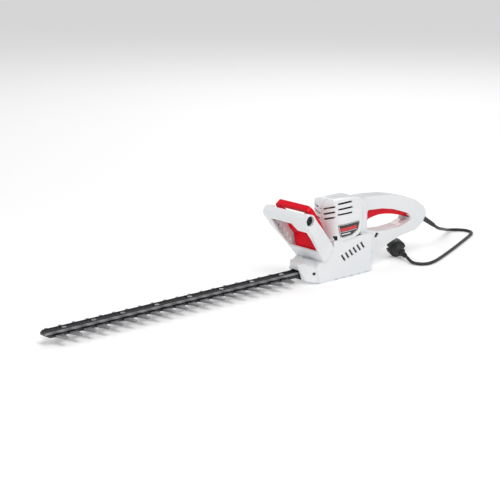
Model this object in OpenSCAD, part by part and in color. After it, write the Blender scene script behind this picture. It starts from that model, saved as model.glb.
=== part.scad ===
// Corded electric hedge trimmer.
// The blade points along -X and the rear handle along +X, +Z is up.
// The origin is on the surface it rests on, under the axis of the upright motor.

/* [Blade] */
// Length of blade that stands out of the nose
blade_reach = 620; // [500:10:660]
// Distance between neighbouring teeth
tooth_pitch = 30.5; // [29:0.5:32]
// How far a tooth tip stands from the middle of the blade
tooth_reach = 36; // [30:1:38]
// Throw of each eccentric, half of one blade's stroke
crank_throw = 7.5; // [6:0.5:8]
// Thickness of each cutting blade
blade_t = 2.2; // [1.8:0.1:2.2]

/* [Body] */
// Width of the gear base
base_w = 76; // [75:1:76]
// Width of the motor tower
tower_w = 82; // [80:1:84]
// Height of the motor tower
tower_h = 167; // [166:1:170]
// Thickness of the moulded walls
wall = 3; // [2.5:0.25:3]

/* [Front handle] */
// Diameter of the round hand bar
bar_d = 27; // [26:1:28]
// Length of the hand bar across the machine
bar_w = 126; // [122:2:130]
// How far the front handle leans towards the blade
handle_lean = 36; // [35:1:37]
// Squeeze of the front switch bail
bail_swing = 4; // [2:0.5:4]

/* [Rear handle] */
// Width of the rear handle
grip_w = 36; // [34:1:36]
// Squeeze of the rear trigger
trigger_swing = 4; // [2:0.5:4]

/* [Cord] */
// Diameter of the power cord
cord_d = 7; // [6:0.5:7.5]

/* [Hidden] */
$fn = 48;

white = "whitesmoke";
red = "crimson";
black = "dimgray";
steel = "silver";

// Heights of the blade stack, from the floor up
lower_z = 14.6;
blade_gap = 0.3;
upper_z = lower_z + blade_t + blade_gap;
bar_z = upper_z + blade_t + blade_gap;
bar_h = 8;
bar_wall = 2;
channel_w = 18;
tongue_w = channel_w - 2 * bar_wall - 0.4;
bar_screw_xs = [-78, -96];
nose_x = -116;
tip_x = nose_x - blade_reach;
blade_half = 9.5;
bolt_r = 3;
bolt_pitch = 80;
first_bolt_x = -158;
end_bolt_pitch = 66;
bolt_xs = concat([for (k = [0:5]) first_bolt_x - k * bolt_pitch],
    [for (k = [1:2]) first_bolt_x - 5 * bolt_pitch - k * end_bolt_pitch]);
first_tooth_x = -161;
tooth_count = floor((first_tooth_x - tip_x - 12) / tooth_pitch) + 1;

// Gear train
gear_module = 1.25;
pinion_teeth = 12;
gear_teeth = 48;
crank_x = -gear_module * (pinion_teeth + gear_teeth) / 2;
gear_z = 36;
gear_t = 8;
cover_z = gear_z + gear_t + 4;
gear_posts = [[-60, 29.5], [-60, -29.5], [18, 27], [18, -27]];
eccentric_r = 8;
shaft_r = 6;

// Front handle, in its own leaning frame: x to the rear, z up along the arms
bar_at = [-138, 0, 145];
bar_r = bar_d / 2;
bail_pivot = [19, -103];
arm_screw = [0, -106];
pivot_r = 2.5;
running_gap = 0.05;

// Rear handle
trigger_pivot = [204, 100];
exit_at = [252, 0, 85];
exit_turn = [0, 121.5, 0];

// Screws that pull the two halves together: X, Z and how far the post reaches sideways
case_screws = [[60, 30, 36], [60, 70, 36], [100, 50, 16.5], [222, 76, 16.5], [100, 145, 16.5], [232, 106, 16.5]];
base_screw_at = [[-70, 31.5], [-70, -31.5], [58, 31.5], [58, -31.5]];

// ---------- outlines ----------

function unit(v) = v / norm(v);
function xy(p) = [p[0], p[1]];
function cross2(a, b) = a[0] * b[1] - a[1] * b[0];

// Points of the round at corner b, between neighbours a and c; b[2] is its radius
function corner(a, b, c, steps) =
    b[2] <= 0 ? [xy(b)] :
    let (u = unit(xy(a) - xy(b)), v = unit(xy(c) - xy(b)),
        half = acos(max(-1, min(1, u * v))) / 2,
        centre = xy(b) + unit(u + v) * b[2] / sin(half),
        p = xy(b) + u * b[2] / tan(half) - centre,
        q = xy(b) + v * b[2] / tan(half) - centre,
        sweep = atan2(cross2(p, q), p * q))
    [for (i = [0:steps]) let (t = sweep * i / steps)
        centre + [p[0] * cos(t) - p[1] * sin(t), p[0] * sin(t) + p[1] * cos(t)]];

// Outline with every corner rounded; each point is [x, y, radius]
function rounded(pts, steps = 5) =
    let (n = len(pts))
    [for (i = [0:n - 1]) each corner(pts[(i + n - 1) % n], pts[i], pts[(i + 1) % n], steps)];

// The same outline moved inwards by g; the points run anticlockwise
function inset(pts, g) =
    let (n = len(pts))
    [for (i = [0:n - 1])
        let (b = xy(pts[i]), u = unit(b - xy(pts[(i + n - 1) % n])),
            v = unit(xy(pts[(i + 1) % n]) - b),
            bend = cross2(u, v), m = unit([-u[1], u[0]] + [-v[1], v[0]]),
            p = b + m * g / max(0.3, m * [-u[1], u[0]]))
        [p[0], p[1], max(0.4, pts[i][2] + (bend > 0 ? -g : g))]];

// A side view, drawn in X and Z, given a width along Y
module side_slab(pts, y0, y1) {
    translate([0, y1, 0]) rotate([90, 0, 0]) linear_extrude(y1 - y0) polygon(pts);
}

// A front view, drawn in Y and Z, given a depth along X
module front_slab(pts, x0, x1) {
    translate([x0, 0, 0]) rotate([90, 0, 90]) linear_extrude(x1 - x0) polygon(pts);
}

module plan_slab(pts, z0, z1) {
    translate([0, 0, z0]) linear_extrude(z1 - z0) polygon(pts);
}

module box(x0, x1, y0, y1, z0, z1) {
    translate([x0, y0, z0]) cube([x1 - x0, y1 - y0, z1 - z0]);
}

// A rod across the machine
module rod_y(x, z, r, y0, y1) {
    translate([x, y1, z]) rotate([90, 0, 0]) cylinder(r = r, h = y1 - y0);
}

// A round tube along a list of points, swept by rings that stay square to it
module swept_tube(path, r, sides) {
    n = len(path);
    rings = [for (i = [0:n - 1])
        let (t = unit(path[min(i + 1, n - 1)] - path[max(i - 1, 0)]),
            a = unit(cross(t, abs(t[2]) > 0.9 ? [1, 0, 0] : [0, 0, 1])), b = cross(t, a))
        for (k = [0:sides - 1]) path[i] + r * (a * cos(360 * k / sides) + b * sin(360 * k / sides))];
    walls = [for (i = [0:n - 2]) for (k = [0:sides - 1])
        let (m = (k + 1) % sides)
        [i * sides + k, (i + 1) * sides + k, (i + 1) * sides + m, i * sides + m]];
    polyhedron(rings, concat(walls, [[for (k = [0:sides - 1]) k]],
        [[for (k = [sides - 1:-1:0]) (n - 1) * sides + k]]));
}

// ---------- body shell ----------

half_base = base_w / 2;
half_tower = tower_w / 2;
half_grip = grip_w / 2;

base_plan = [[70, -half_base, 8], [70, half_base, 8], [-98, half_base, 5], [-98, -half_base, 5]];
base_side = [[-86, 3, 1], [66, 3, 1], [72, 60, 4], [60, 84, 4], [-47, 84, 1], [-47, 71, 1],
    [-82, 46, 2], [-98, 34, 2]];
tower_plan = [[44, -half_tower, 18], [44, half_tower, 18], [-46, half_tower, 32], [-46, -half_tower, 32]];
tower_side = [[-44, 82, 1], [8, 84, 20], [25, 90, 10], [33, 113, 8], [43, 119, 3], [46, tower_h - 3, 16],
    [-46, tower_h, 20], [-46, 100, 8]];
tower_front = [[-half_tower, 60, 1], [half_tower, 60, 1], [half_tower, tower_h, 30], [-half_tower, tower_h, 30]];
neck_side = [[4, 60, 1], [54, 60, 6], [57, 100, 10], [57, 154, 8], [4, 163, 4]];
grip_outer = [[40, 20, 2], [98, 22, 6], [109, 35.5, 12], [141, 46.5, 20], [171, 56, 30], [222, 62, 24],
    [243, 74, 14], [254, 92, 12], [248, 108, 14], [219, 128, 30], [180, 143, 60], [137, 151.5, 60],
    [90, 156, 40], [40, 158, 10]];
grip_hole = [[70, 85, 5], [98, 78, 12], [136, 75, 30], [176, 77, 20], [205, 86, 6], [206, 95, 6],
    [194, 103, 10], [151, 118, 40], [116, 125, 30], [70, 128, 5]];

module base_block(g) {
    intersection() {
        plan_slab(rounded(inset(base_plan, g)), 0, 100);
        side_slab(rounded(inset(base_side, g)), -60, 60);
    }
}

module tower_block(g) {
    intersection() {
        plan_slab(rounded(inset(tower_plan, g), 8), 70, 180);
        side_slab(rounded(inset(tower_side, g)), -60, 60);
        front_slab(rounded(inset(tower_front, g), 8), -60, 60);
    }
}

module grip_block(g, half) {
    difference() {
        side_slab(rounded(inset(grip_outer, g), 4), -half, half);
        side_slab(rounded(inset(grip_hole, -g), 4), -half - 1, half + 1);
    }
}

module neck_block(g) {
    side_slab(rounded(inset(neck_side, g)), -28 + g, 28 - g);
}

// Slanted vent slots low on both sides, over the gears
module gear_vents() {
    for (side = [-1, 1]) for (k = [0:5])
        translate([-18.8 + 11.2 * k, side * half_base, 44.2 + 3.6 * k]) rotate([0, -37, 0])
            cube([5, 2 * wall + 3, 18], center = true);
}

// Cooling slots round the shoulder of the tower, falling towards the front
module motor_vents() {
    for (side = [-1, 1]) for (row = [0:2]) {
        translate([-11 - 2 * row, side * 35, 159 - 11 * row]) rotate([side * 12, -3.5, side * 12])
            cube([40 - 2 * row, 24, 3.4], center = true);
        translate([-44, side * 17.5, 150 - 11 * row]) rotate([side * 18, 0, side * 14])
            cube([20, 29 - 2 * row, 3.4], center = true);
    }
}

module cord_exit_bore(r) {
    translate(exit_at) rotate(exit_turn) translate([0, 0, -40]) cylinder(r = r, h = 60);
}

module shell_cavity() {
    base_block(wall);
    tower_block(wall);
    neck_block(wall);
    grip_block(wall, half_grip - wall);
    box(-40, 40, -34, 34, 70, 92);
    box(20, 50, -25, 25, 40, 150);
    box(40, 76, -15, 15, 40, 70);
    box(48, 90, -15, 15, 132, 150);
    box(-83, 60, -half_base + wall, half_base - wall, 2, 12);
    box(-110, -70, -34, 34, 6, 34);
}

module trigger_slot() {
    side_slab([[69, 97], [88, 102.5], [196, 88], [214, 92], [214, 106], [198, 119], [110, 141], [69, 141]],
        -11.5, 11.5);
}

// Rings that grip the stator and the upper bearing
module motor_ribs() {
    intersection() {
        tower_block(1);
        difference() {
            union() {
                for (z = [106, 130]) plan_slab(rounded(inset(tower_plan, 1)), z, z + 3);
                translate([0, 0, 154]) cylinder(r = 14, h = 11);
            }
            cylinder(r = 33.1, h = 140);
            translate([0, 0, 150]) cylinder(r = 9.5, h = 10.5);
        }
    }
}

module screw_posts() {
    for (p = case_screws) rod_y(p[0], p[1], 4.5, -p[2], p[2]);
    for (p = base_screw_at) translate([p[0], p[1], 3]) cylinder(r = 4.5, h = 17);
}

module screw_holes() {
    for (p = case_screws) {
        rod_y(p[0], p[1], 1.6, -12, p[2] - 4.4);
        rod_y(p[0], p[1], 3.6, p[2] - 4.5, p[2] + 6);
    }
    for (p = base_screw_at) translate([p[0], p[1], 0]) cylinder(r = 1.8, h = 15);
}

// Lugs on the sloping front that the arms of the front handle are screwed to
module handle_lugs() {
    in_handle_frame() difference() {
        for (side = [-1, 1]) side_slab([[-7.5, -118], [30, -118], [30, -96], [22, -92], [-4, -92], [-7.5, -96]],
            side > 0 ? 33.2 : -38.3, side > 0 ? 38.3 : -33.2);
        rod_y(bail_pivot[0], bail_pivot[1], pivot_r, -50, 50);
        rod_y(arm_screw[0], arm_screw[1], 2.1, -50, 50);
    }
}

module housing() {
    difference() {
        union() {
            difference() {
                union() {
                    base_block(0);
                    tower_block(0);
                    neck_block(0);
                    grip_block(0, half_grip);
                }
                shell_cavity();
                trigger_slot();
            }
            motor_ribs();
            intersection() {
                screw_posts();
                union() {
                    base_block(1);
                    neck_block(1);
                    grip_block(1, half_grip - 1);
                }
            }
            handle_lugs();
            rod_y(trigger_pivot[0], trigger_pivot[1], 5.5, -half_grip + 1, -11.2);
            rod_y(trigger_pivot[0], trigger_pivot[1], 5.5, 11.2, half_grip - 1);
        }
        gear_vents();
        motor_vents();
        cord_exit_bore(5.2);
        screw_holes();
        rod_y(trigger_pivot[0], trigger_pivot[1], 2.5, -16, 16);
        // slot that holds a loop of the extension lead
        side_slab(rounded([[92, 66, 2], [101, 64, 2], [107, 72, 2], [98, 75, 2]]), -half_grip - 1, -half_grip + 8);
    }
}

module housing_left() {
    color(white) intersection() {
        housing();
        box(-200, 300, -60, 0, -1, 200);
    }
}

module housing_right() {
    color(white) intersection() {
        housing();
        box(-200, 300, 0, 60, -1, 200);
    }
}

// ---------- covers ----------

module base_cover() {
    color("gainsboro") difference() {
        plan_slab(rounded([[66, -half_base, 8], [66, half_base, 8], [-86, half_base, 5], [-86, -half_base, 5]]), 0, 3);
        for (side = [-1, 1]) for (k = [0:4])
            translate([-39 + 22 * k, side * half_base, 1.5]) cube([8, 7, 4], center = true);
        for (p = base_screw_at) {
            translate([p[0], p[1], -1]) cylinder(r = 1.8, h = 5);
            translate([p[0], p[1], -1]) cylinder(r = 3.4, h = 2.8);
        }
    }
}

nose_plan = [[-70, -37.5, 1], [-70, 37.5, 1], [-98, 37.5, 4], [-111, 25, 8], [-124, 11, 5],
    [-124, -11, 5], [-111, -25, 8], [-98, -37.5, 4]];
nose_side = [[-87, 3.2, 1], [-70, 3.2, 0], [-70, 47, 0], [-84, 47, 0], [-106, 51, 3], [-124, 41, 3],
    [-122, 32, 3], [-112, 8, 4]];
nose_front = [[-37.5, 3, 1], [37.5, 3, 1], [37.5, 34, 5], [20, 46, 12], [0, 53, 30], [-20, 46, 12], [-37.5, 34, 5]];

module nose_block(g) {
    intersection() {
        plan_slab(rounded(inset(nose_plan, g)), 0, 60);
        side_slab(rounded(inset(nose_side, g)), -60, 60);
        front_slab(rounded(inset(nose_front, g)), -140, -60);
    }
}

// White cover round the blade root; it closes the front of the body
module nose_cover() {
    color(white) difference() {
        nose_block(0);
        base_block(-0.05);
        box(-100, -60, -60, 60, -1, 3.1);
        nose_block(2.5);
        box(-140, -60, -11.5, 11.5, 8, 30);
        for (side = [-1, 1]) {
            rod_y(-99.5, 24, 1.7, side * 33 - 9, side * 33 + 9);
            rod_y(-99.5, 24, 3.3, side > 0 ? 33.7 : -40, side > 0 ? 40 : -33.7);
        }
    }
}

// ---------- gear case and train ----------

module gear_case() {
    color(steel) difference() {
        union() {
            box(-104, 24, -13, 13, 28, 33);
            box(-66, 24, -33, 33, 28, 33);
            translate([crank_x, 0, 28]) cylinder(r = 14, h = 7);
            box(-104, -70, -tongue_w / 2, tongue_w / 2, bar_z + bar_wall, 28.5);
            for (p = gear_posts) translate([p[0], p[1], 28]) cylinder(r = 5, h = cover_z - 28);
        }
        translate([crank_x, 0, 20]) cylinder(r = shaft_r + 3, h = 20);
        for (x = bar_screw_xs) {
            translate([x, 0, 18]) cylinder(r = 2.1, h = 20);
            translate([x, 0, 31]) cylinder(r = 3.7, h = 3);
        }
        for (p = gear_posts) translate([p[0], p[1], cover_z - 14]) cylinder(r = 1.6, h = 20);
    }
}

// Lid of the gear case; it carries the top of the crankshaft and the motor's lower bearing
module gear_cover() {
    color(steel) difference() {
        union() {
            box(-64, 24, -33, 33, cover_z, cover_z + 4);
            translate([0, 0, cover_z]) cylinder(r = 14, h = 11);
            translate([crank_x, 0, cover_z - 3]) cylinder(r = 8, h = 4);
        }
        translate([0, 0, cover_z - 1]) cylinder(r = 6, h = 20);
        translate([0, 0, cover_z + 4.5]) cylinder(r = 9.5, h = 10);
        translate([crank_x, 0, cover_z - 4]) cylinder(r = 4 + running_gap, h = 7.6);
        for (p = gear_posts) translate([p[0], p[1], cover_z - 1]) cylinder(r = 1.8, h = 6);
    }
}

// Involute tooth flank from the root to the tip, as polar points
function involute(base_r, r) = let (t = sqrt(max(0, (r / base_r) * (r / base_r) - 1)))
    t * 180 / PI - atan(t);

// Outline of a spur gear; `slack` thins each tooth
function gear_outline(teeth, slack) =
    let (pitch_r = gear_module * teeth / 2, base_r = pitch_r * cos(20),
        root_r = pitch_r - 1.25 * gear_module, tip_r = pitch_r + 0.85 * gear_module,
        half = 90 / teeth - slack / pitch_r * 90 / PI + involute(base_r, pitch_r),
        radii = [max(base_r, root_r), (base_r + pitch_r) / 2, pitch_r, (pitch_r + tip_r) / 2, tip_r])
    [for (k = [0:teeth - 1]) let (at = 360 * k / teeth)
        each concat(
            [root_r * [cos(at - half - 1), sin(at - half - 1)]],
            [for (r = radii) let (a = at - half + involute(base_r, max(base_r, r))) r * [cos(a), sin(a)]],
            [for (i = [4:-1:0]) let (r = radii[i], a = at + half - involute(base_r, max(base_r, r)))
                r * [cos(a), sin(a)]],
            [root_r * [cos(at + half + 1), sin(at + half + 1)]])];

module motor_pinion() {
    color(steel) difference() {
        translate([0, 0, gear_z - 2]) rotate(180 / pinion_teeth) linear_extrude(gear_t + 5)
            polygon(gear_outline(pinion_teeth, 0.5));
        translate([0, 0, gear_z - 3]) cylinder(r = 4, h = 20);
    }
}

module drive_gear() {
    color("darkgray") translate([crank_x, 0, 0]) difference() {
        union() {
            translate([0, 0, gear_z]) linear_extrude(gear_t) polygon(gear_outline(gear_teeth, 0.5));
            translate([0, 0, gear_z - 0.6]) cylinder(r = 9, h = 2);
        }
        cylinder(r = shaft_r, h = 100);
        for (k = [0:5]) rotate(60 * k) translate([19, 0, gear_z - 5]) cylinder(r = 4.5, h = 30);
    }
}

// Shaft with two opposed eccentrics, one in each blade's window
module crankshaft() {
    color("gray") translate([crank_x, 0, 0]) {
        translate([0, 0, upper_z + blade_t]) cylinder(r = shaft_r, h = gear_z + gear_t + 0.5 - upper_z - blade_t);
        translate([0, 0, gear_z + gear_t]) cylinder(r = 4, h = 7.2);
        translate([0, crank_throw, lower_z - 0.5]) cylinder(r = eccentric_r, h = blade_t + 0.5);
        translate([0, -crank_throw, upper_z]) cylinder(r = eccentric_r, h = blade_t + 0.6);
        translate([0, 0, lower_z + blade_t - 0.2]) cylinder(r = 7, h = blade_gap + 0.4);
    }
}

module crank_bush() {
    color("peru") translate([crank_x, 0, 28]) difference() {
        cylinder(r = shaft_r + 3, h = 7);
        translate([0, 0, -1]) cylinder(r = shaft_r + running_gap, h = 10);
    }
}

// ---------- motor ----------

module stator_core() {
    color("slategray") translate([0, 0, 102]) difference() {
        cylinder(r = 33, h = 34);
        translate([0, 0, -1]) cylinder(r = 19, h = 36);
        for (side = [-1, 1]) for (turn = [0, 180]) rotate(turn)
            translate([side * 14.4, 19.2, -1]) cylinder(r = 6, h = 36);
    }
}

module stator_windings() {
    color("chocolate") for (z = [[97.5, 102], [136, 141]]) difference() {
        translate([0, 0, z[0]]) cylinder(r = 29, h = z[1] - z[0]);
        translate([0, 0, z[0] - 1]) cylinder(r = 20, h = 8);
        box(-31, 31, -5, 5, z[0] - 1, z[1] + 1);
    }
}

module rotor_core() {
    color("gray") translate([0, 0, 101]) difference() {
        union() {
            cylinder(r = 18, h = 36);
            translate([0, 0, 36]) cylinder(r = 12, h = 4);
        }
        translate([0, 0, -1]) cylinder(r = 4, h = 50);
        for (k = [0:11]) rotate(30 * k) translate([18, 0, -1]) cylinder(r = 1.6, h = 38);
    }
}

module rotor_shaft() {
    color(steel) translate([0, 0, gear_z - 2]) cylinder(r = 4, h = 162 - gear_z);
}

module commutator() {
    color("peru") translate([0, 0, 141.5]) difference() {
        cylinder(r = 10.5, h = 9);
        translate([0, 0, -1]) cylinder(r = 4, h = 12);
        for (k = [0:11]) rotate(30 * k + 15) translate([9.5, -0.4, -1]) cube([3, 0.8, 12]);
    }
}

module cooling_fan() {
    color(black) translate([0, 0, 89]) difference() {
        union() {
            cylinder(r = 27, h = 1.6);
            cylinder(r = 8, h = 7);
            for (k = [0:9]) rotate(36 * k) translate([7, -0.8, 0]) cube([19.5, 1.6, 7]);
        }
        translate([0, 0, -1]) cylinder(r = 4, h = 12);
    }
}

// Sealed ball bearing, modelled as one ring round the shaft
module bearing(z, h) {
    color("lightgray") translate([0, 0, z]) difference() {
        cylinder(r = 9.5, h = h);
        translate([0, 0, -1]) cylinder(r = 4 + running_gap, h = h + 2);
    }
}

module upper_bearing() { bearing(154, 6); }

module lower_bearing() { bearing(cover_z + 4.5, 6); }

module brush_holders() {
    color("goldenrod") for (side = [-1, 1]) difference() {
        box(side > 0 ? 14 : -30, side > 0 ? 30 : -14, -5, 5, 142, 150);
        box(side > 0 ? 13 : -28, side > 0 ? 28 : -13, -3.2, 3.2, 143.5, 148.5);
    }
}

module carbon_brushes() {
    color(black) for (side = [-1, 1])
        box(side > 0 ? 10.9 : -24, side > 0 ? 24 : -10.9, -3, 3, 143.7, 148.3);
}

// ---------- blade ----------

module guide_bar() {
    color("gray") difference() {
        union() {
            box(tip_x, -60, -channel_w / 2, channel_w / 2, bar_z, bar_z + bar_wall);
            for (side = [-1, 1])
                box(tip_x, -60, side > 0 ? channel_w / 2 - bar_wall : -channel_w / 2,
                    side > 0 ? channel_w / 2 : bar_wall - channel_w / 2, bar_z, bar_z + bar_h);
        }
        for (x = bolt_xs) translate([x, 0, bar_z - 1]) cylinder(r = bolt_r, h = 5);
        for (x = bar_screw_xs) translate([x, 0, bar_z - 1]) cylinder(r = 2, h = 5);
        // the tip is cut back on the underside of the walls
        side_slab([[tip_x - 1, bar_z + 4], [tip_x - 1, bar_z + 9], [tip_x + 7, bar_z + 9]], -20, 20);
    }
}

module bar_screws() {
    color(steel) for (x = bar_screw_xs) {
        translate([x, 0, bar_z]) cylinder(r = 2, h = 32 - bar_z);
        translate([x, 0, 31]) cylinder(r = 3.6, h = 1.8);
    }
}

// Half of one blade's outline: straight back, with a row of raked teeth
function tooth_row(rake) = [for (k = [0:tooth_count - 1]) let (x = first_tooth_x - k * tooth_pitch)
    each [[x + 8, blade_half], [x + 2.5 + rake, tooth_reach], [x - 2.5 + rake, tooth_reach], [x - 8, blade_half]]];

yoke_in = [crank_throw * 2 + eccentric_r + 0.6, crank_throw + eccentric_r + 0.5];

module blade(z) {
    side = concat([[crank_x + yoke_in[0] + 6, 9], [crank_x + yoke_in[0] + 6, yoke_in[1] + 6],
        [crank_x - yoke_in[0] - 3, yoke_in[1] + 6], [crank_x - yoke_in[0] - 12, blade_half]],
        tooth_row(3), [[tip_x + 12, blade_half], [tip_x + 9, 6]]);
    n = len(side);
    outline = concat(side, [for (i = [n - 1:-1:0]) [side[i][0], -side[i][1]]]);
    translate([0, 0, z]) difference() {
        linear_extrude(blade_t) polygon(outline);
        translate([crank_x - yoke_in[0], -yoke_in[1], -1]) cube([2 * yoke_in[0], 2 * yoke_in[1], 5]);
        for (x = bolt_xs) {
            translate([x - crank_throw, -3.4, -1]) cube([2 * crank_throw, 6.8, 5]);
            for (end = [-1, 1]) translate([x + end * crank_throw, 0, -1]) cylinder(r = 3.4, h = 5);
        }
    }
}

module upper_blade() { color("darkgray") blade(upper_z); }

module lower_blade() { color("darkgray") blade(lower_z); }

module blade_bolts() {
    color(steel) for (x = bolt_xs) {
        translate([x, 0, 9]) cylinder(r = bolt_r, h = bar_z + bar_wall - 9);
        difference() {
            translate([x, 0, bar_z + bar_wall]) cylinder(r = 5, h = 5.2, $fn = 6);
            translate([x, 0, bar_z + bar_wall + 4]) cylinder(r = 2, h = 4);
        }
    }
}

module blade_nuts() {
    color(steel) for (x = bolt_xs) difference() {
        union() {
            translate([x, 0, 9.6]) cylinder(r = 5, h = 3.4, $fn = 6);
            translate([x, 0, 13]) cylinder(r = 6.5, h = 1.2);
        }
        translate([x, 0, 8]) cylinder(r = bolt_r, h = 8);
    }
}

// ---------- front handle and its switch ----------

module in_handle_frame() {
    translate(bar_at) rotate([0, -handle_lean, 0]) children();
}

// One arm seen from the front, outer edge first; sign puts it left or right
arm_outer = [[bar_w / 2, 0], [bar_w / 2 - 1, -25], [58, -44], [50, -71], [43.5, -94], [42, -118]];
arm_inner = [[38.3, -118], [38.3, -94], [44, -71], [48, -44], [48, -8], [48, 0]];
arm_skin = [[38.3, -118], [39.8, -94], [46.5, -71], [54.5, -44], [58.5, -25], [59, 0]];
arm_side = [[-13, 6], [-12, -45], [-10, -112], [0, -118], [12, -116], [29, -99], [21, -58], [14, -20], [13.5, 6]];

module arm(side) {
    intersection() {
        side_slab(arm_side, -70, 70);
        union() {
            front_slab([for (p = concat(arm_outer, arm_skin)) [side * p[0], p[1]]], -20, 40);
            front_slab([for (p = concat(arm_outer, arm_inner)) [side * p[0], p[1]]], -20, -8.5);
        }
    }
}

// Zigzag ribs inside an arm
module arm_ribs(side) {
    intersection() {
        front_slab([for (p = concat(arm_outer, arm_inner)) [side * p[0], p[1]]], -9, 4);
        union() for (k = [0:4]) for (tilt = [-1, 1])
            translate([-2.5, side * 50, -26 - 14 * k]) rotate([0, tilt * 45, 0])
                cube([22, 30, 1.6], center = true);
    }
}

module front_handle() {
    color(white) in_handle_frame() difference() {
        union() {
            rod_y(0, 0, bar_r, -bar_w / 2, bar_w / 2);
            for (side = [-1, 1]) {
                arm(side);
                arm_ribs(side);
            }
            // band that joins the arms across the front of the body
            front_slab([[-40, -112], [40, -112], [46, -84], [-46, -84]], -11, -8);
            // channel for the switch lead under the near end of the bar
            front_slab([[-48, -27], [-40, -28], [-18, -27], [-10, -10], [-48, -6]], -10, 2);
        }
        box(5, 20, -52, 52, -20, 20);
        for (side = [-1, 1]) rod_y(0, 0, 10.5, side > 0 ? 53 : -70, side > 0 ? 70 : -53);
        box(-11, 6, -48, -22, -4.6, 4.6);
        rod_y(bail_pivot[0], bail_pivot[1], pivot_r, -41, 41);
        rod_y(arm_screw[0], arm_screw[1], 2.1, -41, 41);
    }
}

module handle_screws() {
    color(steel) in_handle_frame() for (side = [-1, 1]) {
        rod_y(arm_screw[0], arm_screw[1], 2.1, side > 0 ? 31.6 : -40.9, side > 0 ? 40.9 : -31.6);
        rod_y(arm_screw[0], arm_screw[1], 4, side > 0 ? 31.4 : -33.2, side > 0 ? 33.2 : -31.4);
    }
}

// Dished plug in each end of the hand bar
module bar_end_plugs() {
    color(black) in_handle_frame() for (side = [-1, 1]) difference() {
        rod_y(0, 0, 10.45, side > 0 ? 53 : -57, side > 0 ? 57 : -53);
        rod_y(0, 0, 8, side > 0 ? 55.5 : -60, side > 0 ? 60 : -55.5);
    }
}

module bail_pivot_pins() {
    color(steel) in_handle_frame() for (side = [-1, 1])
        rod_y(bail_pivot[0], bail_pivot[1], pivot_r, side > 0 ? 21 : -40.9, side > 0 ? 40.9 : -21);
}

bail_outline = [[-50.5, 13, 12], [-50.5, -30, 20], [-42, -71, 20], [-32.2, -88, 8], [-32.2, -108.5, 3],
    [32.2, -108.5, 3], [32.2, -88, 8], [42, -71, 20], [50.5, -30, 20], [50.5, 13, 12]];
bail_window = [[-39, 3.5, 6], [-39, -36, 6], [-24, -58, 6], [24, -58, 6], [38, -36, 6],
    [44.5, -10, 4], [44.5, 8.5, 2], [28, 8.5, 2], [26, 3.5, 2]];

module front_switch_bail() {
    color(red) in_handle_frame() difference() {
        intersection() {
            front_slab(rounded(bail_outline), -6, 27);
            union() {
                side_slab([[15, 14], [15, -50], [12, -58], [14, -109], [25, -109], [27, -50], [27, 14]], -60, 60);
                // fold that closes the bottom of the opening
                side_slab([[13, -71], [-5.5, -90], [-5.5, -93], [13, -75.5]], -60, 60);
            }
        }
        front_slab(rounded(bail_window), 0, 40);
        front_slab([[-28, -110], [28, -110], [28, -92], [-28, -92]], 0, 40);
        for (side = [-1, 1]) rod_y(bail_pivot[0], bail_pivot[1], pivot_r + running_gap, side > 0 ? 20 : -50, side > 0 ? 50 : -20);
    }
}

// A torsion spring wound round a pin: coils, then a leg at each end
module torsion_spring(coil_r, wire_r, turns, pitch, leg_a, leg_b) {
    coil = [for (i = [0:12 * turns]) let (a = 30 * i)
        [coil_r * cos(a), pitch * i / 12, coil_r * sin(a)]];
    swept_tube(concat([leg_a], coil, [leg_b]), wire_r, 6);
}

module bail_spring() {
    color(steel) in_handle_frame() translate([bail_pivot[0], 22.3, bail_pivot[1]])
        torsion_spring(4.2, 0.7, 3, 1.5, [4.2, 0, 9], [4.2, 4.5, -7]);
}

module front_microswitch() {
    color(black) in_handle_frame() difference() {
        box(-10.8, -0.6, -45, -25, -4.4, 4.4);
        translate([-8.2, -35, 0]) rotate([0, 90, 0]) cylinder(r = 1.6, h = 15);
    }
}

module front_plunger() {
    color(red) in_handle_frame() translate([0, -35, 0]) rotate([0, 90, 0]) {
        translate([0, 0, 8.2]) cylinder(r = 2.4, h = 6.2);
        translate([0, 0, -0.2]) cylinder(r = 1.2, h = 9);
    }
}

// ---------- rear switch ----------

trigger_side = [[71.5, 99, 2], [82, 107.5, 20], [110, 111, 20], [130, 110, 20], [152, 106.5, 20],
    [192, 96, 10], [206, 93, 6], [211, 100, 5], [206, 107, 4], [150, 124, 10], [112, 131, 8],
    [86, 131, 4], [73.5, 124, 4]];

module rear_trigger() {
    color(red) difference() {
        side_slab(rounded(trigger_side), -10.8, 10.8);
        side_slab(rounded([[100, 116, 2], [148, 112, 2], [186, 103, 2], [192, 140, 2], [100, 140, 2]]), -8, 8);
        rod_y(trigger_pivot[0], trigger_pivot[1], 2.5 + running_gap, -12, 12);
        box(196, 214, -4, 4, 90, 115);
    }
}

module trigger_pin() {
    color(steel) rod_y(trigger_pivot[0], trigger_pivot[1], 2.5, -15.5, 15.5);
}

module trigger_spring() {
    color(steel) translate([trigger_pivot[0], -2.7, trigger_pivot[1]])
        torsion_spring(4, 0.6, 3, 1.8, [4, 0, -7], [8, 5.4, 5]);
}

module rear_microswitch() {
    color(black) difference() {
        box(120, 142, -5, 5, 136.5, 146.5);
        translate([131, 0, 134]) cylinder(r = 1.6, h = 9);
    }
}

module rear_plunger() {
    color("lightgray") {
        translate([131, 0, 130]) cylinder(r = 1.2, h = 7.4);
        translate([131, 0, 114.5]) cylinder(r = 3, h = 15.7);
    }
}

// ---------- electrics ----------

module capacitor() {
    color("gold") box(52, 72, -9, 9, 46, 62);
}

module terminal_block() {
    color("ivory") difference() {
        box(150, 174, -8, 8, 60, 70);
        for (k = [-1:1]) translate([162 + 7 * k, 0, 66]) cylinder(r = 1.6, h = 6);
    }
}

module cord_clamp() {
    color(black) difference() {
        box(229, 237, -15, 15, 90.5, 101);
        translate(exit_at) rotate(exit_turn) cylinder(r = cord_d / 2, h = 100, center = true);
    }
}

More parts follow.
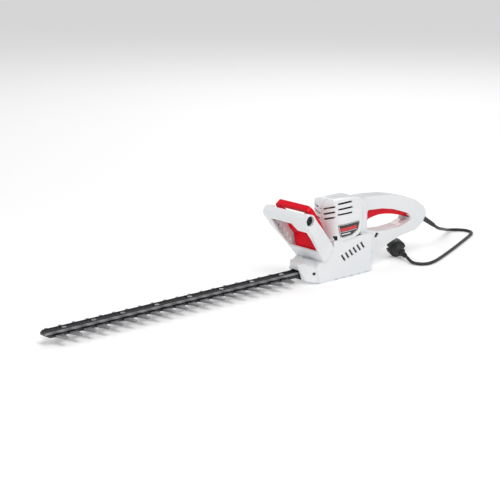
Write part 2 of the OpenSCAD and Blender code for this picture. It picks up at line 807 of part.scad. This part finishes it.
module strain_relief() {
    color(black) translate(exit_at) rotate(exit_turn) difference() {
        union() {
            translate([0, 0, -10]) cylinder(r = 5.2, h = 12);
            translate([0, 0, -10]) cylinder(r = 7, h = 2.5);
            translate([0, 0, 2]) cylinder(r1 = 6.2, r2 = 4.6, h = 53, $fn = 32);
        }
        translate([0, 0, -20]) cylinder(r = cord_d / 2, h = 90);
    }
}

// ---------- cord and plug ----------

// Route of the cord's middle from the mouth of the sleeve to the plug
cord_route = [[297, 0, 57.5], [305, 1, 52.5], [320, 6, 45], [344, 18, 36.5], [370, 34, 28.5], [396, 50, 20.5],
    [420, 66, 12.5], [441, 77.5, 7], [455, 78.5, 4.8], [467.5, 72.5, 3.8], [475.5, 61, 3.6], [476.5, 47, 3.6],
    [471, 35, 3.6], [460, 26, 3.6], [440, 16, 3.6], [410, 2, 3.6], [355, -23, 3.6], [305, -45, 3.6], [250, -68, 3.6],
    [220, -79, 3.6], [196, -84, 3.6], [183, -80.5, 3.6], [173.5, -71, 3.8], [170, -58.5, 4.8], [173.5, -45.5, 7.5],
    [177.3, -36.4, 9.6], [180, -27.5, 11.6]];

// Smooth curve through the route's points, cut into `steps` for each stretch
function smooth(p, steps) = let (n = len(p)) concat(
    [for (i = [0:n - 2]) for (s = [0:steps - 1])
        let (a = p[max(i - 1, 0)], b = p[i], c = p[i + 1], d = p[min(i + 2, n - 1)], t = s / steps)
        0.5 * (2 * b + (c - a) * t + (2 * a - 5 * b + 4 * c - d) * t * t + (3 * b - a - 3 * c + d) * t * t * t)],
    [p[n - 1]]);

module power_cord() {
    color(black) swept_tube(smooth(cord_route, 3), cord_d / 2, 10);
}

plug_at = [180, -27.5, 11.6];
plug_yaw = 17;
plug_tilt = 12;

module in_plug_frame() {
    translate(plug_at) rotate([0, 0, -plug_yaw]) rotate([plug_tilt, 0, 0]) rotate([-90, 0, 0]) children();
}

// Round contact plug with a ribbed tail
module plug_body() {
    color(black) in_plug_frame() difference() {
        union() {
            cylinder(r1 = 5.2, r2 = 6.4, h = 12, $fn = 32);
            translate([0, 0, 12]) cylinder(r = 5.4, h = 3);
            translate([0, 0, 15]) cylinder(r = 8.5, h = 6);
            translate([0, 0, 21]) cylinder(r1 = 9, r2 = 16, h = 13, $fn = 40);
            translate([0, 0, 34]) cylinder(r = 19, h = 16);
        }
        for (side = [-1, 1]) translate([side * 19.5, 0, 30]) cylinder(r = 3.2, h = 30);
        translate([0, 0, 47]) difference() {
            cylinder(r = 17, h = 5);
            translate([0, 0, -1]) cylinder(r = 14.5, h = 7);
        }
        for (side = [-1, 1]) translate([side * 9.5, 0, 40]) {
            cylinder(r = 1.8, h = 12);
            translate([0, 0, 9]) cylinder(r = 4.4, h = 3);
        }
    }
}

module plug_pins() {
    color(steel) in_plug_frame() for (side = [-1, 1]) translate([side * 9.5, 0, 40]) {
        cylinder(r = 1.8, h = 12);
        translate([0, 0, 10]) cylinder(r = 2.4, h = 19);
    }
}

// ---------- fasteners and labels ----------

module nose_screws() {
    color("dimgray") for (side = [-1, 1]) {
        rod_y(-99.5, 24, 1.7, side > 0 ? 28 : -34.5, side > 0 ? 34.5 : -28);
        rod_y(-99.5, 24, 3.2, side > 0 ? 33.8 : -35.6, side > 0 ? 35.6 : -33.8);
    }
}

module base_screws() {
    color("dimgray") for (p = base_screw_at) translate([p[0], p[1], 0.4]) {
        cylinder(r = 3.2, h = 1.4);
        cylinder(r = 1.8, h = 13);
    }
}

module housing_screws() {
    color("dimgray") for (p = case_screws) {
        rod_y(p[0], p[1], 1.6, -12, p[2] - 4.4);
        rod_y(p[0], p[1], 3.5, p[2] - 4.5, p[2] - 2);
    }
}

module gear_screws() {
    color(steel) for (p = gear_posts) translate([p[0], p[1], 0]) {
        translate([0, 0, cover_z - 12]) cylinder(r = 1.6, h = 16.5);
        translate([0, 0, cover_z + 4]) cylinder(r = 3, h = 1.6);
    }
}

label_side = [[-33, 115.5, 2], [-28, 88, 3], [2, 90, 8], [20, 100, 10], [24, 118, 2]];

// A thin badge that follows the tower on each side
module side_labels() {
    color(black) difference() {
        intersection() {
            tower_block(-0.8);
            union() for (side = [-1, 1]) side_slab(rounded(label_side), side > 0 ? 24 : -44, side > 0 ? 44 : -24);
        }
        tower_block(0);
    }
}

housing_left();
housing_right();
base_cover();
nose_cover();
gear_case();
gear_cover();
front_handle();
bar_end_plugs();
handle_screws();
nose_screws();
base_screws();
housing_screws();
gear_screws();
side_labels();
stator_core();
stator_windings();
rotor_core();
rotor_shaft();
commutator();
cooling_fan();
motor_pinion();
upper_bearing();
lower_bearing();
brush_holders();
carbon_brushes();
drive_gear();
crankshaft();
crank_bush();
guide_bar();
bar_screws();
upper_blade();
lower_blade();
blade_bolts();
blade_nuts();
front_switch_bail();
bail_pivot_pins();
bail_spring();
front_microswitch();
front_plunger();
rear_trigger();
trigger_pin();
trigger_spring();
rear_microswitch();
rear_plunger();
capacitor();
terminal_block();
cord_clamp();
strain_relief();
power_cord();
plug_body();
plug_pins();
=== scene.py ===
"""Looks of a corded electric hedge trimmer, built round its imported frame.

The frame gives every rigid piece its shape and place. This script gives each of them a
finish, lays the flexible cord, and sets up the floor, the lights and the camera. Lengths are
in metres. The blade points along -X and the rear handle along +X.
"""

import logging
import math
from collections.abc import Sequence
from dataclasses import dataclass
from enum import Enum
from typing import Any

import bmesh
import bpy
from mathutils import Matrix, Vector


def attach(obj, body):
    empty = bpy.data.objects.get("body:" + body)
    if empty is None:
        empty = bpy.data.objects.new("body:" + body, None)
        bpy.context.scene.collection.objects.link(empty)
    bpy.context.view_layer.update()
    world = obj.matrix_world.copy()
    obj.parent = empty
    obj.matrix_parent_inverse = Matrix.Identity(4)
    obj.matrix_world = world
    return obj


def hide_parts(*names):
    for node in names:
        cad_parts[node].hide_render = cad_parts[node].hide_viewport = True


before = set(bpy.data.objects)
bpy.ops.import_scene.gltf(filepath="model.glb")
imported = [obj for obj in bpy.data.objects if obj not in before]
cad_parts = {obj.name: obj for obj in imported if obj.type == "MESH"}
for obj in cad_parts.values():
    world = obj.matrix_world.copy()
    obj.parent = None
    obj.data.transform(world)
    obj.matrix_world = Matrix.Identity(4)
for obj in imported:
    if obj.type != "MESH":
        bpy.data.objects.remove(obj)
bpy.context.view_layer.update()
MM = 0.001
log = logging.getLogger("hedge_trimmer")

Colour = tuple[float, float, float]


class Wire:
    """A shader value: arithmetic on it adds Math nodes to its graph."""

    def __init__(self, graph: "Graph", socket: bpy.types.NodeSocket) -> None:
        """Wraps one output socket of a graph."""
        self.graph = graph
        self.socket = socket

    def _with(self, operation: str, *values: Any) -> "Wire":
        """Adds one Math node that takes these values in order."""
        made = self.graph.node("ShaderNodeMath", {"operation": operation}, dict(enumerate(values)))
        return Wire(self.graph, made.outputs[0])

    def __add__(self, other: Any) -> "Wire":
        """Sum."""
        return self._with("ADD", self, other)

    __radd__ = __add__

    def __sub__(self, other: Any) -> "Wire":
        """Difference."""
        return self._with("SUBTRACT", self, other)

    def __rsub__(self, other: Any) -> "Wire":
        """Difference with the number first."""
        return self._with("SUBTRACT", other, self)

    def __mul__(self, other: Any) -> "Wire":
        """Product."""
        return self._with("MULTIPLY", self, other)

    __rmul__ = __mul__

    def __abs__(self) -> "Wire":
        """Size without its sign."""
        return self._with("ABSOLUTE", self)

    def above(self, edge: float, soft: float) -> "Wire":
        """A mask that is 1 where the value passes an edge.

        Args:
            edge: Where the mask is half way.
            soft: How far the mask takes to rise.

        Returns:
            The mask, from 0 to 1.
        """
        made = self.graph.node(
            "ShaderNodeMapRange",
            {"interpolation_type": "SMOOTHSTEP", "clamp": True},
            {"Value": self, "From Min": edge - soft / 2, "From Max": edge + soft / 2},
        )
        return Wire(self.graph, made.outputs["Result"])

    def maximum(self, other: Any) -> "Wire":
        """The larger of two values."""
        return self._with("MAXIMUM", self, other)

    def spread(self, low: float, high: float) -> "Wire":
        """Maps 0 to 1 onto a range.

        Args:
            low: The result at 0.
            high: The result at 1.

        Returns:
            The value in its new range.
        """
        return self * (high - low) + low


class Graph:
    """The node tree of one material, with a principled shader at its end."""

    def __init__(self, name: str) -> None:
        """Starts a material with an empty tree, a shader and an output."""
        self.material = bpy.data.materials.new(name)
        self.material.use_nodes = True
        self.tree = self.material.node_tree
        self.tree.nodes.clear()
        self.shader = self.node("ShaderNodeBsdfPrincipled")
        self.node("ShaderNodeOutputMaterial", None, {"Surface": self.shader.outputs["BSDF"]})
        self.place = self.node("ShaderNodeTexCoord").outputs["Object"]
        split = self.node("ShaderNodeSeparateXYZ", None, {"Vector": self.place})
        self.x, self.y, self.z = (Wire(self, split.outputs[axis]) for axis in "XYZ")

    def node(
        self,
        kind: str,
        settings: dict[str, Any] | None = None,
        inputs: dict[str | int, Any] | None = None,
    ) -> bpy.types.Node:
        """Adds one node.

        Args:
            kind: The node's type name.
            settings: Its own settings, which are set before its sockets.
            inputs: Values or links for its sockets, by name or number.

        Returns:
            The new node.
        """
        made = self.tree.nodes.new(kind)
        for key, value in (settings or {}).items():
            setattr(made, key, value)
        for key, value in (inputs or {}).items():
            value = value.socket if isinstance(value, Wire) else value
            if isinstance(value, bpy.types.NodeSocket):
                self.tree.links.new(value, made.inputs[key])
            else:
                made.inputs[key].default_value = value
        return made

    def noise(self, scale: float, stretch: Sequence[float] = (1, 1, 1), detail: float = 3) -> Wire:
        """Smooth random values over the piece.

        Args:
            scale: How fine the pattern is, in repeats per metre.
            stretch: How much finer it is along each axis.
            detail: How many finer layers lie on it.

        Returns:
            Values from 0 to 1.
        """
        mapped = self.node("ShaderNodeMapping", None, {"Vector": self.place, "Scale": stretch})
        made = self.node(
            "ShaderNodeTexNoise",
            {"noise_dimensions": "3D"},
            {"Vector": mapped.outputs[0], "Scale": scale, "Detail": detail},
        )
        return Wire(self, made.outputs["Fac"])

    def blend(self, mask: Wire, low: Colour, high: Any) -> bpy.types.NodeSocket:
        """Mixes two colours.

        Args:
            mask: 0 gives the first colour and 1 the second.
            low: The first colour, or a link to one.
            high: The second colour, or a link to one.

        Returns:
            The mixed colour's socket.
        """
        made = self.node("ShaderNodeMix", {"data_type": "RGBA"})
        self.tree.links.new(mask.socket, made.inputs[0])
        for socket, value in ((made.inputs[6], low), (made.inputs[7], high)):
            if isinstance(value, bpy.types.NodeSocket):
                self.tree.links.new(value, socket)
            else:
                socket.default_value = (*value, 1.0)
        return made.outputs[2]

    def relief(self, height: Wire, depth: float, edge: float) -> None:
        """Sends a height to the shader's normal, over edges that look softly rounded.

        Args:
            height: The relief, from 0 to 1.
            depth: How deep the relief is.
            edge: The radius that sharp edges seem to have.
        """
        soft = self.node("ShaderNodeBevel", {"samples": 6}, {"Radius": edge})
        bump = self.node(
            "ShaderNodeBump",
            None,
            {"Height": height, "Distance": depth, "Strength": 1.0, "Normal": soft.outputs[0]},
        )
        self.tree.links.new(bump.outputs[0], self.shader.inputs["Normal"])

    def dress(self, **sockets: Any) -> bpy.types.Material:
        """Sets the shader's sockets and closes the material.

        Args:
            **sockets: Values or links, named as the sockets are with _ for a space.

        Returns:
            The finished material.
        """
        for name, value in sockets.items():
            socket = self.shader.inputs[name.replace("_", " ")]
            value = value.socket if isinstance(value, Wire) else value
            if isinstance(value, bpy.types.NodeSocket):
                self.tree.links.new(value, socket)
            elif isinstance(value, tuple):
                socket.default_value = (*value, 1.0)
            else:
                socket.default_value = value
        return self.material


def scaled(colour: Colour, gain: float) -> Colour:
    """Makes a colour darker or lighter, up to full white.

    Args:
        colour: The colour.
        gain: What each part is multiplied by.

    Returns:
        The new colour.
    """
    red, green, blue = (min(1.0, gain * part) for part in colour)
    return red, green, blue


@dataclass(frozen=True)
class Moulding:
    """A gloss plastic moulding with a faint flow pattern and softly rounded edges."""

    name: str
    colour: Colour
    shade: Colour
    roughness: float = 0.24
    coat: float = 0.3
    edge: float = 0.0012
    peel: float = 0.24
    shine: float = 0.5
    seam_groove_and_painted_shade: bool = False
    joint_half: float = 0.35 * MM
    seam_painted_shade_gain: float = 0.45

    def make(self) -> bpy.types.Material:
        """Builds the material."""
        graph = Graph(self.name)
        flow = graph.noise(9, detail=2)
        colour = graph.blend(flow.above(0.5, 0.5), self.colour, self.shade)
        height = graph.noise(700, detail=1) * self.peel
        if self.seam_groove_and_painted_shade:
            # Painted shade: the seam between the housing halves is darkened in colour as shade in its
            # groove; the groove itself is bump relief.
            groove_and_painted_shade = 1 - abs(graph.y).above(self.joint_half, 0.3 * MM)
            colour = graph.blend(groove_and_painted_shade, colour, scaled(self.shade, self.seam_painted_shade_gain))
            height = height - groove_and_painted_shade * 3
        graph.relief(height, 0.0001, self.edge)
        return graph.dress(
            Base_Color=colour,
            Roughness=graph.noise(60).spread(self.roughness - 0.05, self.roughness + 0.07),
            Coat_Weight=self.coat,
            Coat_Roughness=0.12,
            Specular_IOR_Level=self.shine,
        )


@dataclass(frozen=True)
class Sheath:
    """Flexible black sheath with a fine satin grain."""

    name: str
    colour: Colour = (0.012, 0.012, 0.013)
    wear_and_painted_highlight: Colour = (0.03, 0.03, 0.031)
    roughness: float = 0.42
    grain: float = 1400

    def make(self) -> bpy.types.Material:
        """Builds the material."""
        graph = Graph(self.name)
        grain = graph.noise(self.grain, detail=2)
        rubbed = graph.noise(45, detail=4)
        graph.relief(grain, 0.00008, 0.0006)
        return graph.dress(
            Base_Color=graph.blend(rubbed.above(0.6, 0.35), self.colour, self.wear_and_painted_highlight),
            Roughness=rubbed.spread(self.roughness - 0.08, self.roughness + 0.14),
            Specular_IOR_Level=0.45,
        )


class Grain(Enum):
    """Which way a metal's tool marks run."""

    LENGTHWISE = (1.0, 30.0, 30.0)
    CROSSWISE = (40.0, 1.0, 40.0)
    TURNED = (3.0, 3.0, 40.0)
    CAST = (8.0, 8.0, 8.0)


@dataclass(frozen=True)
class Metal:
    """Bare or darkened metal with tool marks.

    Past ground_from, on either side of the middle, the metal is ground bright. The band field gives the
    middle and half the height of a band painted bright: a painted highlight where light falls, not wear.
    """

    name: str
    colour: Colour
    light: Colour
    grain: Grain
    roughness: float = 0.34
    metallic: float = 1.0
    marks: float = 0.00005
    ground_from: float = 0.0
    ground_gain: float = 3.2
    painted_highlight_band: tuple[float, float] | None = None
    painted_highlight_gain: float = 9.0

    def make(self) -> bpy.types.Material:
        """Builds the material."""
        graph = Graph(self.name)
        marks = graph.noise(40, self.grain.value, detail=4)
        stain = graph.noise(25, detail=3)
        colour = graph.blend(marks.above(0.52, 0.3), self.colour, self.light)
        colour = graph.blend(stain.above(0.62, 0.2) * 0.5, colour, self.colour)
        if self.ground_from:
            ground = abs(graph.y).above(self.ground_from, 2 * MM)
            colour = graph.blend(ground, colour, scaled(self.light, self.ground_gain))
        # Painted highlight: a band on the bar's side is made brighter where the side light falls on it.
        if self.painted_highlight_band:
            middle, half = self.painted_highlight_band
            band = 1 - abs(graph.z - middle).above(half, 0.6 * MM)
            wear_and_painted_highlight = band * marks.spread(0.6, 1.0)
            colour = graph.blend(wear_and_painted_highlight, colour, scaled(self.light, self.painted_highlight_gain))
        graph.relief(marks, self.marks, 0.0004)
        return graph.dress(
            Base_Color=colour,
            Metallic=self.metallic,
            Roughness=marks.spread(self.roughness - 0.08, self.roughness + 0.14),
        )


@dataclass(frozen=True)
class Winding:
    """Bundled enamelled wire: fine parallel turns."""

    name: str = "enamelled_wire"
    colour: Colour = (0.36, 0.11, 0.03)
    dark: Colour = (0.1, 0.03, 0.012)

    def make(self) -> bpy.types.Material:
        """Builds the material."""
        graph = Graph(self.name)
        turns = graph.node(
            "ShaderNodeTexWave",
            {"wave_type": "RINGS", "rings_direction": "Z"},
            {"Vector": graph.place, "Scale": 260.0, "Distortion": 1.2, "Detail": 1.0},
        )
        strand = Wire(graph, turns.outputs["Fac"])
        graph.relief(strand, 0.0003, 0.0006)
        return graph.dress(
            Base_Color=graph.blend(strand.above(0.35, 0.5), self.dark, self.colour),
            Metallic=0.6,
            Roughness=0.35,
        )


@dataclass(frozen=True)
class Laminations:
    """A stack of thin steel sheets."""

    name: str = "stacked_sheet"
    colour: Colour = (0.2, 0.2, 0.21)
    gap: Colour = (0.04, 0.04, 0.045)
    pitch: float = 0.0007

    def make(self) -> bpy.types.Material:
        """Builds the material."""
        graph = Graph(self.name)
        bands = graph.node(
            "ShaderNodeTexWave",
            {"wave_type": "BANDS", "bands_direction": "Z"},
            {"Vector": graph.place, "Scale": 0.314 / self.pitch, "Distortion": 0.0},
        )
        sheet = Wire(graph, bands.outputs["Fac"])
        graph.relief(sheet, 0.0002, 0.0003)
        return graph.dress(
            Base_Color=graph.blend(sheet.above(0.3, 0.3), self.gap, self.colour),
            Metallic=0.8,
            Roughness=graph.noise(80).spread(0.4, 0.6),
        )


@dataclass(frozen=True)
class Badge:
    """Black badge with a thin pale border, a wide red bar and two thin pale ones."""

    name: str = "badge_print"
    ground: Colour = (0.008, 0.008, 0.009)
    border: Colour = (0.8, 0.8, 0.8)
    accent: Colour = (0.62, 0.01, 0.02)
    corners: tuple[tuple[float, float], ...] = (
        (-33.0, 115.5), (-28.0, 88.0), (2.0, 90.0), (20.0, 100.0), (24.0, 118.0),
    )

    def rim(self, graph: Graph) -> Wire:
        """Distance past the outline's sides, in metres: 0 on the outline, less inside."""
        far = None
        for (x0, z0), (x1, z1) in zip(self.corners, self.corners[1:] + self.corners[:1]):
            run = math.hypot(x1 - x0, z1 - z0)
            out_x, out_z = (z1 - z0) / run, -(x1 - x0) / run
            side = graph.x * out_x + graph.z * out_z - (x0 * out_x + z0 * out_z) * MM
            far = side if far is None else far.maximum(side)
        return far

    @staticmethod
    def bar(graph: Graph, level: Wire, middle: float, half: float, left: float, right: float) -> Wire:
        """Mask of one printed bar; the sizes are in millimetres.

        Args:
            graph: The material's graph.
            level: Height across the bars.
            middle: Height of the bar's middle.
            half: Half of its thickness.
            left: Where it starts along X.
            right: Where it ends along X.

        Returns:
            1 on the bar and 0 round it.
        """
        band = 1 - abs(level - middle * MM).above(half * MM, 0.3 * MM)
        span = graph.x.above(left * MM, 0.4 * MM) * (1 - graph.x.above(right * MM, 0.4 * MM))
        return band * span

    def make(self) -> bpy.types.Material:
        """Builds the material."""
        graph = Graph(self.name)
        rim = self.rim(graph)
        line = rim.above(-1.5 * MM, 0.3 * MM) * (1 - rim.above(-0.7 * MM, 0.3 * MM))
        level = graph.z - graph.x * 0.044
        red, upper, lower = (
            self.bar(graph, level, *sizes)
            for sizes in ((106.0, 3.4, -28.5, 15.0), (101.2, 0.4, -27.5, 15.0), (96.4, 1.1, -26.0, -3.0))
        )
        colour = graph.blend(upper.maximum(lower), self.ground, self.border)
        colour = graph.blend(red, colour, self.accent)
        colour = graph.blend(line, colour, self.border)
        graph.relief(graph.noise(600), 0.00003, 0.0003)
        return graph.dress(
            Base_Color=colour,
            Roughness=graph.noise(50).spread(0.22, 0.34),
            Coat_Weight=0.25,
        )


# The white housing halves carry a seam line of painted shade.
WHITE = Moulding("white_moulding", (0.80, 0.815, 0.83), (0.765, 0.785, 0.805), seam_groove_and_painted_shade=True)
COVER_WHITE = Moulding("cover_moulding", (0.80, 0.815, 0.83), (0.765, 0.785, 0.805))
RED = Moulding(
    "red_moulding", (0.8, 0.0, 0.016), (0.66, 0.0, 0.011), roughness=0.3, coat=0.0, shine=0.16
)
GREY = Moulding("grey_moulding", (0.35, 0.35, 0.35), (0.28, 0.28, 0.28), roughness=0.4, coat=0.0)
BLACK = Moulding("black_moulding", (0.018, 0.018, 0.019), (0.012, 0.012, 0.012), roughness=0.4, coat=0.0)
YELLOW = Moulding("dipped_film", (0.62, 0.42, 0.04), (0.5, 0.33, 0.03))
IVORY = Moulding("ivory_moulding", (0.62, 0.58, 0.46), (0.55, 0.5, 0.4), roughness=0.42, coat=0.0)
SHEATH = Sheath("cord_sheath")
BLADE = Metal(
    "blade_steel", (0.045, 0.045, 0.05), (0.10, 0.10, 0.105), Grain.CROSSWISE, 0.36, ground_from=0.0125
)
# The bar's grey band along its side is a painted highlight, not wear.
BAR = Metal(
    "bar_steel", (0.015, 0.015, 0.016), (0.04, 0.04, 0.042), Grain.LENGTHWISE, 0.36,
    painted_highlight_band=(0.0236, 0.0026),
)
PLATED = Metal("plated_steel", (0.42, 0.42, 0.43), (0.58, 0.58, 0.6), Grain.TURNED, 0.28)
DARK_SCREW = Metal("black_screw", (0.05, 0.05, 0.052), (0.1, 0.1, 0.1), Grain.TURNED, 0.4)
CAST = Metal("die_cast", (0.38, 0.385, 0.39), (0.5, 0.5, 0.51), Grain.CAST, 0.46, marks=0.0002)
BRASS = Metal("pressed_brass", (0.55, 0.37, 0.12), (0.68, 0.48, 0.2), Grain.LENGTHWISE, 0.3)
COPPER = Metal("copper_bars", (0.5, 0.2, 0.1), (0.66, 0.3, 0.16), Grain.TURNED, 0.28)
CARBON = Sheath("carbon_block", (0.02, 0.02, 0.022), (0.04, 0.04, 0.042), 0.6, 2600)

NODE_FINISHES: dict[Any, tuple[str, ...]] = {
    WHITE: ("housing_left", "housing_right"),
    COVER_WHITE: ("base_cover", "nose_cover", "front_handle"),
    RED: ("front_switch_bail", "rear_trigger", "front_plunger"),
    GREY: ("rear_plunger",),
    BLACK: ("cooling_fan", "front_microswitch", "rear_microswitch", "cord_clamp"),
    YELLOW: ("capacitor",),
    IVORY: ("terminal_block",),
    SHEATH: ("strain_relief", "plug_body", "bar_end_plugs"),
    BLADE: ("upper_blade", "lower_blade"),
    BAR: ("guide_bar",),
    PLATED: (
        "bar_screws", "blade_bolts", "blade_nuts", "bail_pivot_pins", "trigger_pin", "bail_spring",
        "trigger_spring", "upper_bearing", "lower_bearing", "rotor_shaft", "motor_pinion",
        "drive_gear", "crankshaft", "gear_screws", "plug_pins",
    ),
    DARK_SCREW: ("nose_screws", "base_screws", "housing_screws", "handle_screws"),
    CAST: ("gear_case", "gear_cover"),
    BRASS: ("brush_holders", "crank_bush"),
    COPPER: ("commutator",),
    CARBON: ("carbon_brushes",),
    Winding(): ("stator_windings",),
    Laminations(): ("stator_core", "rotor_core"),
    Badge(): ("side_labels",),
}


@dataclass
class Viewpoint:
    """Camera that sees the trimmer from the front left and a little above."""

    azimuth: float = -41.37
    elevation: float = 14.7
    distance: float = 3.002
    target: tuple[float, float, float] = (-0.2427, 0.0, 0.0923)
    lens: float = 109.0

    def place(self) -> None:
        """Adds the camera and makes it the scene's."""
        turn, rise = math.radians(self.azimuth), math.radians(self.elevation)
        back = Vector(
            (math.sin(turn) * math.cos(rise), -math.cos(turn) * math.cos(rise), math.sin(rise))
        )
        data = bpy.data.cameras.new("camera")
        data.lens, data.sensor_width = self.lens, 36.0
        camera = bpy.data.objects.new("camera", data)
        camera.location = Vector(self.target) + back * self.distance
        camera.rotation_mode = "QUATERNION"
        camera.rotation_quaternion = (-back).to_track_quat("-Z", "Y")
        bpy.context.scene.collection.objects.link(camera)
        bpy.context.scene.camera = camera
        log.info("camera placed")


@dataclass
class PowerCord:
    """The mains lead, from the mouth of its sleeve to the tail of the plug."""

    diameter: float = 0.007
    route: tuple[tuple[float, float, float], ...] = (
        (297, 0, 57.5), (305, 1, 52.5), (320, 6, 45), (344, 18, 36.5), (370, 34, 28.5),
        (396, 50, 20.5), (420, 66, 12.5), (441, 77.5, 7), (455, 78.5, 4.8), (467.5, 72.5, 3.8),
        (475.5, 61, 3.6), (476.5, 47, 3.6), (471, 35, 3.6), (460, 26, 3.6), (440, 16, 3.6),
        (410, 2, 3.6), (355, -23, 3.6), (305, -45, 3.6), (250, -68, 3.6), (220, -79, 3.6),
        (196, -84, 3.6), (183, -80.5, 3.6), (173.5, -71, 3.8), (170, -58.5, 4.8),
        (173.5, -45.5, 7.5), (177.3, -36.4, 9.6), (180, -27.5, 11.6),
    )

    def length(self) -> float:
        """Length along the smooth curve through the route's points."""
        points = [Vector(p) * MM for p in self.route]
        total, steps = 0.0, 12
        for i in range(len(points) - 1):
            a, b = points[max(i - 1, 0)], points[i]
            c, d = points[i + 1], points[min(i + 2, len(points) - 1)]
            last = b
            for k in range(1, steps + 1):
                t = k / steps
                here = 0.5 * (
                    2 * b + (c - a) * t + (2 * a - 5 * b + 4 * c - d) * t * t
                    + (3 * b - a - 3 * c + d) * t**3
                )
                total += (here - last).length
                last = here
        return total

    def lay(self) -> bpy.types.Object:
        """Lays the cord as one curve.

        Returns:
            The cord's object.
        """
        data = bpy.data.curves.new("power_cord", "CURVE")
        data.dimensions = "3D"
        data.bevel_depth, data.bevel_resolution = self.diameter / 2, 6
        data.resolution_u, data.use_fill_caps = 8, True
        spline = data.splines.new("BEZIER")
        points = [Vector(p) * MM for p in self.route]
        spline.bezier_points.add(len(points) - 1)
        for i, (knot, at) in enumerate(zip(spline.bezier_points, points)):
            before, after = points[max(i - 1, 0)], points[min(i + 1, len(points) - 1)]
            tangent = (after - before) / (2 if 0 < i < len(points) - 1 else 1)
            knot.co = at
            knot.handle_left_type = knot.handle_right_type = "FREE"
            knot.handle_left, knot.handle_right = at - tangent / 3, at + tangent / 3
        piece = bpy.data.objects.new("power_cord_sheath", data)
        bpy.context.scene.collection.objects.link(piece)
        piece.data.materials.append(SHEATH.make())
        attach(piece, "machine")
        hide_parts("power_cord")
        round(self.length(), 3)
        log.info("cord laid, %.3f m", self.length())
        return piece


@dataclass
class Studio:
    """Plain pale floor and soft lights round the trimmer."""

    floor_size: float = 14.0
    floor_colour: Colour = (0.9, 0.9, 0.9)
    floor_glow: float = 0.2

    def floor(self) -> None:
        """Lays the floor just under the trimmer."""
        mesh = bpy.data.meshes.new("floor")
        shape = bmesh.new()
        bmesh.ops.create_grid(shape, x_segments=1, y_segments=1, size=self.floor_size)
        shape.to_mesh(mesh)
        shape.free()
        piece = bpy.data.objects.new("floor", mesh)
        bpy.context.scene.collection.objects.link(piece)
        graph = Graph("floor_paper")
        tone = graph.noise(3)
        piece.data.materials.append(
            graph.dress(
                Base_Color=graph.blend(tone, self.floor_colour, scaled(self.floor_colour, 0.99)),
                Roughness=0.9,
                Emission_Color=(1.0, 1.0, 1.0),
                Emission_Strength=self.floor_glow,
            )
        )

    def lamp(self, name: str, at: Sequence[float], size: float, watts: float) -> None:
        """Hangs one square lamp that points at the trimmer.

        Args:
            name: The lamp's name.
            at: Where it hangs.
            size: Length of its sides.
            watts: Its power.
        """
        data = bpy.data.lights.new(name, "AREA")
        data.size, data.energy = size, watts
        lamp = bpy.data.objects.new(name, data)
        lamp.location = at
        aim = Vector((-0.1, 0.0, 0.05)) - Vector(at)
        lamp.rotation_mode = "QUATERNION"
        lamp.rotation_quaternion = aim.to_track_quat("-Z", "Y")
        bpy.context.scene.collection.objects.link(lamp)

    def build(self) -> None:
        """Builds the floor, the lamps and the even light of a white room."""
        self.floor()
        self.lamp("key", (-0.8, -1.6, 2.6), 1.5, 40)
        self.lamp("fill", (-3.2, -0.6, 1.4), 2.2, 14)
        self.lamp("rear", (1.8, 1.6, 2.2), 1.8, 22)
        world = bpy.data.worlds.new("white_room")
        world.use_nodes = True
        back = world.node_tree.nodes["Background"]
        back.inputs["Color"].default_value = (1.0, 1.0, 1.0, 1.0)
        back.inputs["Strength"].default_value = 0.5
        bpy.context.scene.world = world
        bpy.context.scene.view_settings.view_transform = "Standard"
        log.info("studio built")


def dress_nodes() -> None:
    """Gives every frame node its finish."""
    for finish, nodes in NODE_FINISHES.items():
        material = finish.make()
        for name in nodes:
            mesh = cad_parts[name].data
            mesh.materials.clear()
            mesh.materials.append(material)
            log.info("%s: %s", name, material.name)


def main() -> None:
    """Builds the looks in order."""
    logging.basicConfig(level=logging.INFO, format="%(name)s: %(message)s")
    Viewpoint().place()
    PowerCord().lay()
    dress_nodes()
    Studio().build()


if __name__ == "__main__":
    main()
